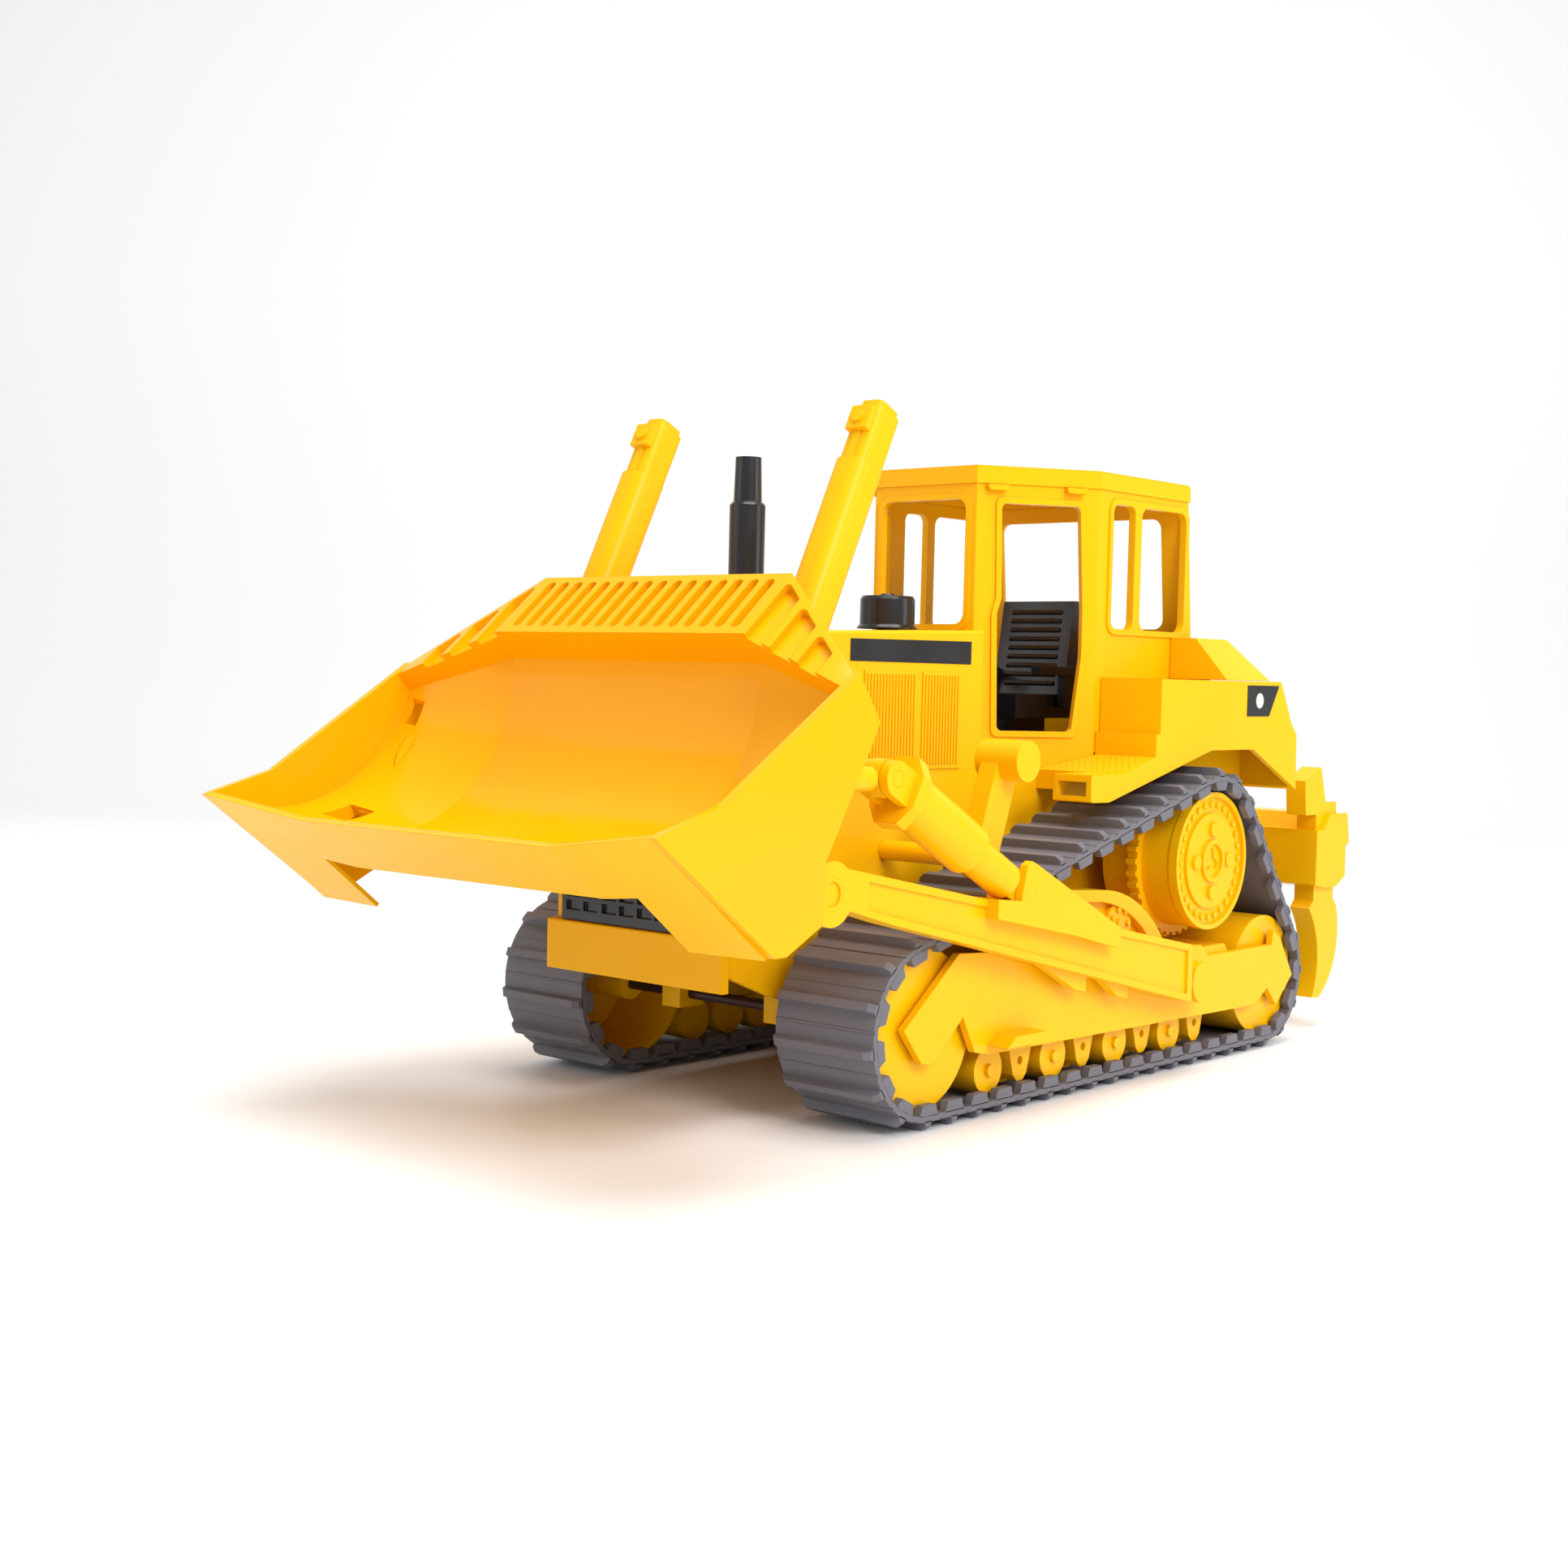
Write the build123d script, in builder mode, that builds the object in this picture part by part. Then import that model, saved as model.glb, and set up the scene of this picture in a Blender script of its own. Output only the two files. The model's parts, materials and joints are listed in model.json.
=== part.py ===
from build123d import *
import math
import os

os.makedirs("parts", exist_ok=True)

# A toy bulldozer, about 1:16. Millimetres, +Z up, the blade towards -Y, the machine's left side at +X.
# The ground is z = 0 and the machine stands on its two track belts.

# ---- driving dimensions -------------------------------------------------------------------------
BELT_INNER, BELT_OUTER = 53.0, 100.0  # x of a belt's two edges
BAND = 2.4  # belt thickness without its bars
BAR = 3.5  # height of a ground bar
LUG = 4.0  # height of an inner guide lug
LINK_PITCH = 16.2
FRONT_IDLER, FRONT_R = (-94.0, 37.4), 31.5  # (y, z) of the centre, inner radius of the belt round it
REAR_IDLER, REAR_R = (168.8, 34.2), 28.3
SPROCKET, SPROCKET_R = (118.2, 90.2), 36.1
WHEEL_IN, WHEEL_OUT = 58.0, 95.2
IDLER_AXLE_R, SPROCKET_AXLE_R = 2.2, 4.0
RUNNING = 0.05  # radial clearance of a turning fit

HULL_HALF = 46.0
HULL_TOP, CAB_DECK = 131.0, 138.0
HOOD_FRONT, HOOD_REAR = -96.0, 8.0
SHROUD_FRONT, SHROUD_HALF = -148.0, 42.0
WALL = 2.5

CAB_FRONT, CAB_REAR = 25.0, 156.0
CAB_NOSE_HALF, CAB_HALF = 28.0, 59.5
CAB_SIDE_START = 73.6
ROOF_LOW, ROOF_TOP = 254.3, 262.2
FENDER_IN, FENDER_OUT = 59.8, 91.0

FRAME_IN, FRAME_OUT, COVER_OUT = 60.0, 97.2, 100.3
ARM_IN, ARM_OUT = 101.0, 112.4
ARM_PIVOT = (85.7, 40.2)
BLADE_PIVOT = (-168.0, 95.0)
CROSS_TUBE_R = 6.0

LIP = (-253.8, 113.2)  # (y, z) of the blade's lip at the middle
CHORD = (0.776, 0.631)  # (y, z) direction from the lip to the top of the blade
BLADE_KINK, BLADE_END, BLADE_HALF = 66.0, 118.0, 121.0
SLOTS, SLOT_PITCH, SLOT_WIDTH = 16, 7.8, 4.4

BRACE_X, BRACE_ROD_R, BRACE_BORE_R, BRACE_R = 110.7, 7.4, 8.7, 10.0
BRACE_BALL, BRACE_FOOT = (-140.0, 134.0), (-56.0, 88.5)
BRACE_PIN_R = 3.0

LIFT_X = 58.2
LIFT_DIR = (0.4368, 0.8996)  # (y, z) direction of a lift cylinder, upwards
TRUNNION_AT = 75.0  # distance from the blade pivot to the trunnion
TRUNNION_R = 4.0

LEVER_SHAFT, LEVER_KNOB = (-56.0, 100.0), (-42.0, 138.0)

RIPPER_PIVOT, RIPPER_CYL_TOP, RIPPER_CYL_FOOT = (192.0, 66.0), (192.0, 118.0), (240.0, 108.0)
RIPPER_CYL_X = 34.0
SHANK_X = 84.0

SIDES = {"left": 1, "right": -1}


# ---- helpers ------------------------------------------------------------------------------------
def slab(points, x_low, x_high, side=1, mode=Mode.ADD):
    """A prism whose (y, z) outline is extruded along X."""
    low, high = sorted((side * x_low, side * x_high))
    with BuildSketch(Plane.YZ.offset(low)) as outline:
        with BuildLine():
            Polyline(*points, close=True)
        make_face()
    extrude(outline.sketch, amount=high - low, mode=mode)


def flat(points):
    """Adds a polygon to the current sketch."""
    with BuildLine() as line:
        Polyline(*points, close=True)
    make_face(line.edges())


def disc(centre, radius, x_low, x_high, side=1, mode=Mode.ADD):
    """A cylinder along X about the (y, z) centre."""
    low, high = sorted((side * x_low, side * x_high))
    with BuildSketch(Plane.YZ.offset(low)) as outline:
        with Locations(centre):
            Circle(radius)
    extrude(outline.sketch, amount=high - low, mode=mode)


def block(x_range, y_range, z_range, side=1, mode=Mode.ADD):
    """A box given by its ranges, mirrored in X for side -1."""
    y_low, y_high = y_range
    z_low, z_high = z_range
    corners = [(y_low, z_low), (y_high, z_low), (y_high, z_high), (y_low, z_high)]
    slab(corners, x_range[0], x_range[1], side, mode)


def rod(x, start, end, radius, mode=Mode.ADD):
    """A cylinder between two (y, z) points in the plane of the given x."""
    foot, top = Vector(x, *start), Vector(x, *end)
    with BuildSketch(Plane(origin=foot, x_dir=(1, 0, 0), z_dir=top - foot)) as outline:
        Circle(radius)
    extrude(outline.sketch, amount=(top - foot).length, mode=mode)


def along(start, direction, distance, across=0.0):
    """The (y, z) point at a distance along a direction, and across it to its left."""
    return (
        start[0] + direction[0] * distance - direction[1] * across,
        start[1] + direction[1] * distance + direction[0] * across,
    )


def unit(start, end):
    """The (y, z) unit direction between two points."""
    length = math.dist(start, end)
    return ((end[0] - start[0]) / length, (end[1] - start[1]) / length)


def bar(start, direction, low, high, half, x_low, x_high, side=1, mode=Mode.ADD):
    """A flat bar along a (y, z) direction, from distance low to high."""
    ends = [(low, -half), (high, -half), (high, half), (low, half)]
    slab([along(start, direction, *end) for end in ends], x_low, x_high, side, mode)


def save(builder, name):
    builder.part.label = name
    export_step(builder.part, f"parts/{name}.step")


# ---- hull ---------------------------------------------------------------------------------------
with BuildPart() as hull:
    slab(
        [
            (SHROUD_FRONT, 57), (-120, 46), (150, 46), (178, 60),
            (178, CAB_DECK), (75, CAB_DECK), (75, HULL_TOP), (SHROUD_FRONT, HULL_TOP),
        ],
        -HULL_HALF, HULL_HALF,
    )
    cavity_half = HULL_HALF - 3
    slab([(-145, 40), (175, 40), (175, 135), (78, 135), (78, 128), (-145, 128)], -cavity_half, cavity_half,
         mode=Mode.SUBTRACT)
    for y, z, floor in ((FRONT_IDLER[0], FRONT_IDLER[1], 32), (REAR_IDLER[0], REAR_IDLER[1], 28)):
        block((-cavity_half, cavity_half), (y - 4, y + 4), (50, 64))
        for side in SIDES.values():
            block((23, 33), (y - 7, y + 7), (floor, 52), side)
        disc((y, z), IDLER_AXLE_R, -40, 40, mode=Mode.SUBTRACT)
    disc(SPROCKET, SPROCKET_AXLE_R, -50, 50, mode=Mode.SUBTRACT)
    disc(LEVER_SHAFT, 4 + RUNNING, -50, 50, mode=Mode.SUBTRACT)
save(hull, "hull")

with BuildPart() as front_guard:
    block((-47.2, 47.2), (-152.5, -148), (57.2, 70.8))
    slab([(-152.5, 51), (-148.3, 51), (-148.3, 56.9), (-148, 57.2), (-152.5, 57.2)], -47.2, 47.2)
    fillet(front_guard.edges().filter_by(Axis.X).group_by(Axis.Y)[0], radius=0.8)
save(front_guard, "front_guard")

with BuildPart() as shroud:
    slab([(SHROUD_FRONT, HULL_TOP), (HOOD_FRONT, HULL_TOP), (HOOD_FRONT, 186), (SHROUD_FRONT + 5, 186),
          (SHROUD_FRONT, 181)], -SHROUD_HALF, SHROUD_HALF)
    slab([(SHROUD_FRONT + WALL, HULL_TOP), (HOOD_FRONT, HULL_TOP), (HOOD_FRONT, 183), (SHROUD_FRONT + 6, 183),
          (SHROUD_FRONT + WALL, 179.5)], -SHROUD_HALF + WALL, SHROUD_HALF - WALL, mode=Mode.SUBTRACT)
    trunnion = along(BLADE_PIVOT, LIFT_DIR, TRUNNION_AT)
    for side in SIDES.values():
        disc(trunnion, 8, 36, SHROUD_HALF, side)
        disc(trunnion, TRUNNION_R + RUNNING, 30, 50, side, Mode.SUBTRACT)
save(shroud, "radiator_shroud")

with BuildPart() as grille:
    block((-41, 41), (-150.6, -148), (71, 176))
    for row in range(19):
        z = 75.0 + 5.3 * row
        for x in (-34.5, -24.9, -14.5, -4.9, 4.9, 14.5, 24.9, 34.5):
            block((x - 4, x + 4), (-150.6, -149.2), (z, z + 3.7), mode=Mode.SUBTRACT)
save(grille, "radiator_grille")


# ---- hood and what stands on it -----------------------------------------------------------------
EXHAUST_Y, INTAKE_Y = -91.8, 0.0
HOOD_TOP_FRONT, HOOD_TOP_REAR = 186.8, 190.0

with BuildPart() as hood:
    slab([(HOOD_FRONT, HULL_TOP), (HOOD_REAR, HULL_TOP), (HOOD_REAR, HOOD_TOP_REAR), (HOOD_FRONT, HOOD_TOP_FRONT)],
         -HULL_HALF, HULL_HALF)
    fillet(hood.edges().filter_by(lambda edge: abs(edge.tangent_at(0.5).Y) > 0.9).group_by(Axis.Z)[-1], radius=1.5)
    inner_half = HULL_HALF - WALL
    slab([(HOOD_FRONT + WALL, 125), (HOOD_REAR - WALL, 125), (HOOD_REAR - WALL, HOOD_TOP_REAR - WALL),
          (HOOD_FRONT + WALL, HOOD_TOP_FRONT - WALL)], -inner_half, inner_half, mode=Mode.SUBTRACT)
    block((-30, 30), (HOOD_REAR - WALL, CAB_FRONT - 0.2), (HULL_TOP, 188))
    block((-30 + WALL, 30 - WALL), (HOOD_REAR - WALL, CAB_FRONT - 3), (HULL_TOP, 185.5), mode=Mode.SUBTRACT)
    for y, radius in ((EXHAUST_Y, 3.5), (INTAKE_Y, 5.0)):
        with BuildSketch(Plane.XY.offset(170)) as opening:
            with Locations((0, y)):
                Circle(radius)
        extrude(opening.sketch, amount=30, mode=Mode.SUBTRACT)
save(hood, "hood")


def turned(profile, y):
    """A body of revolution about the vertical line x = 0 at y, from (radius, z) points."""
    with BuildSketch(Plane(origin=(0, y, 0), x_dir=(1, 0, 0), z_dir=(0, -1, 0))) as outline:
        with BuildLine():
            Polyline(*profile, close=True)
        make_face()
    revolve(outline.sketch, axis=Axis((0, y, 0), (0, 0, 1)))


with BuildPart() as exhaust:
    turned([(0, 177), (3.5, 177), (3.5, 187.2), (7.2, 187.2), (7.2, 236.6), (6.4, 237.6), (5.7, 238), (5.2, 255.7),
            (4, 255.7), (4, 200), (0, 200)], EXHAUST_Y)
save(exhaust, "exhaust_stack")

with BuildPart() as intake:
    turned([(0, 180), (5, 180), (5, 190.2), (13.2, 190.2), (13.2, 190.8), (12, 192), (11.9, 203), (11, 204.4),
            (3.6, 204.6), (3, 205.4), (0, 205.4)], INTAKE_Y)
save(intake, "air_intake_cap")

with BuildPart() as panel:
    for side in SIDES.values():
        for y_low, y_high in ((-71.8, -37.0), (-34.0, -7.1)):
            block((HULL_HALF, HULL_HALF + 0.6), (y_low, y_high), (132, 172), side)
            ribs = int((y_high - y_low - 2) / 2.0)
            for rib in range(ribs):
                y = y_low + 1.4 + 2.0 * rib
                block((HULL_HALF + 0.6, HULL_HALF + 1.2), (y, y + 1.0), (134, 170.5), side)
save(panel, "side_panels")


# ---- cab ----------------------------------------------------------------------------------------
def cab_outline(grow, nose_grow=None):
    """The cab's plan, an octagon cut off square at the back, moved out by grow."""
    nose = grow if nose_grow is None else nose_grow
    half, front = CAB_HALF + grow, CAB_FRONT - nose
    corner = CAB_NOSE_HALF + 0.55 * grow
    start = CAB_SIDE_START - 0.35 * grow
    right = [(corner, front), (half, start), (half, CAB_REAR + grow)]
    return right + [(-x, y) for x, y in reversed(right)]


def cab_prism(grow, z_low, z_high, mode=Mode.ADD):
    with BuildSketch(Plane.XY.offset(z_low)) as plan:
        with BuildLine():
            Polyline(*cab_outline(grow), close=True)
        make_face()
    extrude(plan.sketch, amount=z_high - z_low, mode=mode)


def behind_rear_window(grow, mode=Mode.SUBTRACT):
    """Takes away what lies behind the leaning rear wall."""
    slab([(155.9 + grow, 192.7), (149.2 + grow, 262), (149.2 + grow, 270), (175, 270), (175, 192.7)], -80, 80,
         mode=mode)


DOOR_RUN = (CAB_HALF - CAB_NOSE_HALF, CAB_SIDE_START - CAB_FRONT)
DOOR_ANGLE = math.hypot(*DOOR_RUN)
DOOR_DIR = (DOOR_RUN[0] / DOOR_ANGLE, DOOR_RUN[1] / DOOR_ANGLE)


def door_plane(side):
    """The chamfered front corner of the cab, with x measured back from its front edge and y as height."""
    out = (side * DOOR_DIR[1], -DOOR_DIR[0], 0)
    x_dir = (side * DOOR_DIR[0], DOOR_DIR[1], 0)
    return Plane(origin=(side * CAB_NOSE_HALF, CAB_FRONT, 0), x_dir=x_dir, z_dir=out)


def door_points(side, grow):
    """The door's outline, with its waist; on the right side the plane's y axis points down."""
    points = [
        (11.5 - grow, 246 + grow), (48.5 + grow, 246 + grow), (50.8 + grow, 200), (50.8 + grow, 180),
        (47 + grow, 147 - grow), (11.8 - grow, 147 - grow), (10.5 - grow, 198), (12.5 - grow, 205),
    ]
    return [(x, side * z) for x, z in points]


def on_door(points, side, start, amount, radius, mode):
    plane = door_plane(side)
    with BuildSketch(plane.offset(start)) as outline:
        with BuildLine():
            Polyline(*points, close=True)
        make_face()
        fillet(outline.vertices(), radius)
    extrude(outline.sketch, amount=amount, mode=mode)


def window(y_low, y_high, z_low, z_high, side, x_start, amount, radius, mode):
    with BuildSketch(Plane.YZ.offset(side * x_start)) as outline:
        with Locations(((y_low + y_high) / 2, (z_low + z_high) / 2)):
            RectangleRounded(y_high - y_low, z_high - z_low, radius)
    extrude(outline.sketch, amount=side * amount, mode=mode)


with BuildPart() as cab_shell:
    cab_prism(0, HULL_TOP, ROOF_LOW)
    for side in SIDES.values():
        on_door(door_points(side, 2.6), side, -0.5, 1.5, 3, Mode.ADD)
        window(81.6, 150.0, 190.6, 251.2, side, CAB_HALF - 0.5, 1.5, 6, Mode.ADD)
    with BuildSketch(Plane.XZ.offset(-CAB_FRONT)) as screen_frame:
        with Locations((0, 220.4)):
            RectangleRounded(51, 59.5, 6)
    extrude(screen_frame.sketch, amount=1.0)
    behind_rear_window(0)
    slab([(75, 120), (75, CAB_DECK), (160, CAB_DECK), (160, 120)], -70, 70, mode=Mode.SUBTRACT)
    with BuildSketch(Plane.XY.offset(120)) as inside_plan:
        with BuildLine():
            Polyline(*cab_outline(-WALL), close=True)
        make_face()
    with BuildPart(mode=Mode.PRIVATE) as cab_space:
        extrude(inside_plan.sketch, amount=150)
        behind_rear_window(-WALL)
    add(cab_space.part, mode=Mode.SUBTRACT)
    for side in SIDES.values():
        on_door(door_points(side, 0), side, -8, 20, 2.5, Mode.SUBTRACT)
        window(84.2, 102.4, 193.2, 248.6, side, CAB_HALF - 6, 12, 4, Mode.SUBTRACT)
        window(108.0, 147.2, 193.2, 248.6, side, CAB_HALF - 6, 12, 5, Mode.SUBTRACT)
    with BuildSketch(Plane.XZ.offset(-CAB_FRONT - 8)) as screen:
        with Locations((0, 220.4)):
            RectangleRounded(46, 54.5, 5)
    extrude(screen.sketch, amount=20, mode=Mode.SUBTRACT)
    with BuildSketch(Plane.XZ.offset(-CAB_REAR - 10)) as rear_screen:
        with Locations((0, 221)):
            RectangleRounded(92, 52, 5)
    extrude(rear_screen.sketch, amount=25, mode=Mode.SUBTRACT)
save(cab_shell, "cab_shell")

with BuildPart() as cab_roof:
    cab_prism(0.8, ROOF_LOW, ROOF_TOP - 0.8)
    cab_prism(0, ROOF_TOP - 0.8, ROOF_TOP)
    behind_rear_window(0.8)
    with BuildPart(mode=Mode.PRIVATE) as roof_space:
        cab_prism(-WALL - 3, ROOF_LOW, ROOF_TOP - WALL)
        behind_rear_window(-WALL - 3)
    add(roof_space.part, mode=Mode.SUBTRACT)
save(cab_roof, "cab_roof")

with BuildPart() as cab_floor:
    slab([(26, HULL_TOP), (26, 134), (72, 134), (72, 141), (150, 141), (150, CAB_DECK), (75, CAB_DECK),
          (75, HULL_TOP)], -57, 57)
    slab([(30, 134), (46, 134), (44, 168), (38, 186), (30, 186)], -24, 24)
    block((-8, 8), (84, 112), (141, 152))
    cab_prism(-WALL, 120, 200, Mode.INTERSECT)
save(cab_floor, "cab_console")

with BuildPart() as seat:
    block((-19, 19), (72, 120), (152, 163))
    slab([(109, 163), (120, 163), (125, 207), (116, 207)], -20, 20)
    for side in SIDES.values():
        block((20, 25), (82, 118), (172, 176), side)
        block((20, 24), (104, 116), (157, 172), side)
        block((19, 20), (106, 115), (157, 163), side)
save(seat, "driver_seat")


# ---- fenders, tank and steps --------------------------------------------------------------------
def fender_profile(inset):
    """The fender's (y, z) side outline, moved in by inset except along its open bottom."""
    return [
        (26 + inset, 130.4 - inset), (50.5, 130.4 - inset), (75.6, 137.2 - inset), (75.6 + inset, 147.2 - inset),
        (78.8 + inset, 147.2 - inset), (78.8 + inset, 171.3 - inset), (187.6 - 0.6 * inset, 171.3 - inset),
        (198.8 - inset, 152.1), (204.6 - inset, 146.1), (205.6 - inset, 119.8),
    ]


for name, side in SIDES.items():
    with BuildPart() as fender:
        slab(fender_profile(0) + [(162.4, 139.6), (124, 139.6), (39, 118.6), (26, 118.8)], FENDER_IN,
             FENDER_OUT, side)
        slab(fender_profile(WALL) + [(205.6 - WALL, 100), (26 + WALL, 100)], FENDER_IN + WALL,
             FENDER_OUT - WALL, side, Mode.SUBTRACT)
        # the step stands back from a hollow-fronted block at its outer corner
        block((50, 72), (20, 50.5), (110, 135), side, Mode.SUBTRACT)
        block((HULL_HALF, 74.5), (50.5, 53), (122, 130.4), side)
        block((72, 74.5), (26, 53), (118.8, 130.4), side)
        slab([(50.5, 127.4), (50.5, 130.4), (75.6, 137.2), (110, 137.2), (110, 134.2), (75.6, 134.2)],
             HULL_HALF, FENDER_IN + 3, side)
        block((72, FENDER_OUT), (24.8, 26), (119.2, 130), side)
        block((74.5, FENDER_OUT - 2.5), (24, 29), (121.4, 127.4), side, Mode.SUBTRACT)
        # the inner wall comes down behind the sprocket, clear of the belt
        slab([(116, 138), (124, 134.2), (134, 132.4), (142, 128.6), (152, 121.5), (203, 119.9), (203, 140.5),
              (116, 140.5)], FENDER_IN, FENDER_IN + WALL, side)
        cab_prism(0.3, 120, 200, Mode.SUBTRACT)
    save(fender, f"fender_{name}")

TANK_LOW, TANK_HIGH = 171.6, 190.6
with BuildPart() as rear_tank:
    with BuildSketch(Plane.XY.offset(TANK_LOW)) as tank_low:
        with Locations((0, (137.4 + 178) / 2)):
            Rectangle(180, 178 - 137.4)
    with BuildSketch(Plane.XY.offset(TANK_HIGH)) as tank_high:
        with Locations((0, (137.4 + 166) / 2)):
            Rectangle(146, 166 - 137.4)
    loft([tank_low.sketch, tank_high.sketch])
    with BuildSketch(Plane.XY.offset(TANK_LOW)) as tank_low_inside:
        with Locations((0, 157.7)):
            Rectangle(174, 34)
    with BuildSketch(Plane.XY.offset(TANK_HIGH - WALL)) as tank_high_inside:
        with Locations((0, 151.7)):
            Rectangle(140, 23)
    loft([tank_low_inside.sketch, tank_high_inside.sketch], mode=Mode.SUBTRACT)
    cab_prism(0.3, 160, 200, Mode.SUBTRACT)
save(rear_tank, "rear_tank")

with BuildPart() as rear_deck:
    block((-59.5, 59.5), (156.7, 176), (CAB_DECK, TANK_LOW))
    block((-56.5, 56.5), (159.2, 173.5), (CAB_DECK + WALL, TANK_LOW), mode=Mode.SUBTRACT)
save(rear_deck, "rear_deck")


# ---- axles and wheels ---------------------------------------------------------------------------
with BuildPart() as idler_axles:
    for centre in (FRONT_IDLER, REAR_IDLER):
        disc(centre, IDLER_AXLE_R, -99.8, 99.8)
save(idler_axles, "idler_axles")

with BuildPart() as sprocket_axle:
    disc(SPROCKET, SPROCKET_AXLE_R, -93.6, 93.6)
save(sprocket_axle, "sprocket_axle")


def drum(centre, radius, bore, side):
    """A hollow wheel with its face outboard and a tube round its axle."""
    disc(centre, radius, WHEEL_IN, WHEEL_OUT - 3, side)
    disc(centre, radius - WALL, WHEEL_IN, WHEEL_OUT - 3, side, Mode.SUBTRACT)
    disc(centre, radius, WHEEL_OUT - 3, WHEEL_OUT, side)
    disc(centre, bore + 4.5, WHEEL_IN, WHEEL_OUT, side)
    disc(centre, bore, WHEEL_IN - 1, WHEEL_OUT + 5, side, Mode.SUBTRACT)


for name, side in SIDES.items():
    with BuildPart() as front_idler:
        drum(FRONT_IDLER, FRONT_R - 0.5, IDLER_AXLE_R + RUNNING, side)
    save(front_idler, f"front_idler_{name}")
    with BuildPart() as rear_idler:
        drum(REAR_IDLER, REAR_R - 0.6, IDLER_AXLE_R + RUNNING, side)
    save(rear_idler, f"rear_idler_{name}")

RIM_R, TEETH, BUMPS = 31.0, 40, 28
for name, side in SIDES.items():
    with BuildPart() as sprocket:
        drum(SPROCKET, RIM_R - 0.5, SPROCKET_AXLE_R + RUNNING, side)
        disc(SPROCKET, RIM_R, 92, 96.3, side)
        disc(SPROCKET, RIM_R - 2.2, WHEEL_OUT - 0.8, 97, side, Mode.SUBTRACT)
        with BuildSketch(Plane.YZ.offset(side * 73)) as tooth_ring:
            with Locations(SPROCKET):
                Circle(34)
                with PolarLocations(34, TEETH):
                    Rectangle(2.8, 2.6)
                Circle(RIM_R - 2, mode=Mode.SUBTRACT)
        extrude(tooth_ring.sketch, amount=side * 5)
        with BuildSketch(Plane.YZ.offset(side * (WHEEL_OUT - 0.8))) as bump_ring:
            with Locations(SPROCKET):
                with PolarLocations(25.4, BUMPS):
                    Circle(1.35)
        extrude(bump_ring.sketch, amount=side * 1.2)
        disc(SPROCKET, SPROCKET_AXLE_R + RUNNING, 50, 97, side, Mode.SUBTRACT)
    save(sprocket, f"sprocket_{name}")
    with BuildPart() as hub_cap:
        face = WHEEL_OUT - 0.8
        disc(SPROCKET, 21.5, face, face + 1.4, side)
        with BuildSketch(Plane.YZ.offset(side * (face + 1.4))) as bosses:
            with Locations(SPROCKET):
                with PolarLocations(14.2, 4):
                    Circle(3.1)
                Circle(9.6)
                Circle(7.6, mode=Mode.SUBTRACT)
        extrude(bosses.sketch, amount=side * 1.5)
        with BuildSketch(Plane.YZ.offset(side * (face + 0.5))) as lobes:
            with Locations(SPROCKET):
                with PolarLocations(3.4, 3, start_angle=90):
                    Circle(2.3)
                Circle(2.6)
        extrude(lobes.sketch, amount=side * 3, mode=Mode.SUBTRACT)
    save(hub_cap, f"hub_cap_{name}")


# ---- belts --------------------------------------------------------------------------------------
LOOP = [(FRONT_IDLER, FRONT_R), (REAR_IDLER, REAR_R), (SPROCKET, SPROCKET_R)]


def tangent_normal(first, second):
    """The outward normal of the straight run between two wheels of the loop."""
    (y1, z1), r1 = first
    (y2, z2), r2 = second
    span = math.dist((y1, z1), (y2, z2))
    u = ((y2 - y1) / span, (z2 - z1) / span)
    inward = (r1 - r2) / span
    outward = math.sqrt(1 - inward**2)
    return (u[0] * inward + u[1] * outward, u[1] * inward - u[0] * outward)


def loop_lines(grow):
    """Draws the loop round the three wheels, moved out by grow, into the current line."""
    normals = [tangent_normal(LOOP[i], LOOP[(i + 1) % 3]) for i in range(3)]
    for i in range(3):
        (y, z), radius = LOOP[i]
        reach = radius + grow
        before, after = normals[i - 1], normals[i]
        middle = Vector(before[0] + after[0], before[1] + after[1]).normalized()
        if before[0] * after[1] - before[1] * after[0] < 0:
            middle = -middle
        arc = [(y + n[0] * reach, z + n[1] * reach) for n in (before, (middle.X, middle.Y), after)]
        ThreePointArc(*arc)
        (y_next, z_next), next_radius = LOOP[(i + 1) % 3]
        next_reach = next_radius + grow
        Line(arc[2], (y_next + after[0] * next_reach, z_next + after[1] * next_reach))


with BuildLine() as mid_line:
    loop_lines(BAND)
LOOP_WIRE = mid_line.wires()[0]
LINKS = round(LOOP_WIRE.length / LINK_PITCH)


def link_frames():
    """The (point, outward direction, forward direction) of each link on the belt's outer face."""
    for link in range(LINKS):
        point = LOOP_WIRE.position_at(link / LINKS)
        ahead = LOOP_WIRE.tangent_at(link / LINKS)
        outward = Vector(ahead.Y, -ahead.X)
        yield point, outward, ahead


def link_shapes(foot_half, top_half, low, high):
    """One trapezoid for each link, between two distances from the belt's outer face."""
    for point, outward, ahead in link_frames():
        corners = [
            point + outward * low - ahead * foot_half,
            point + outward * low + ahead * foot_half,
            point + outward * high + ahead * top_half,
            point + outward * high - ahead * top_half,
        ]
        flat([(corner.X, corner.Y) for corner in corners])


for name, side in SIDES.items():
    low, high = sorted((side * BELT_INNER, side * BELT_OUTER))
    with BuildPart() as belt:
        with BuildSketch(Plane.YZ.offset(low)) as band:
            with BuildLine():
                loop_lines(BAND)
            make_face()
            link_shapes(3.6, 1.7, -0.8, BAR)
            with BuildLine():
                loop_lines(0)
            make_face(mode=Mode.SUBTRACT)
        extrude(amount=high - low)
        for edge in (low, high - 3.4):
            with BuildSketch(Plane.YZ.offset(edge)) as lugs:
                link_shapes(6.2, 4.6, -BAND + 0.5, -BAND - LUG)
            extrude(lugs.sketch, amount=3.4)
    save(belt, f"track_belt_{name}")


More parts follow.
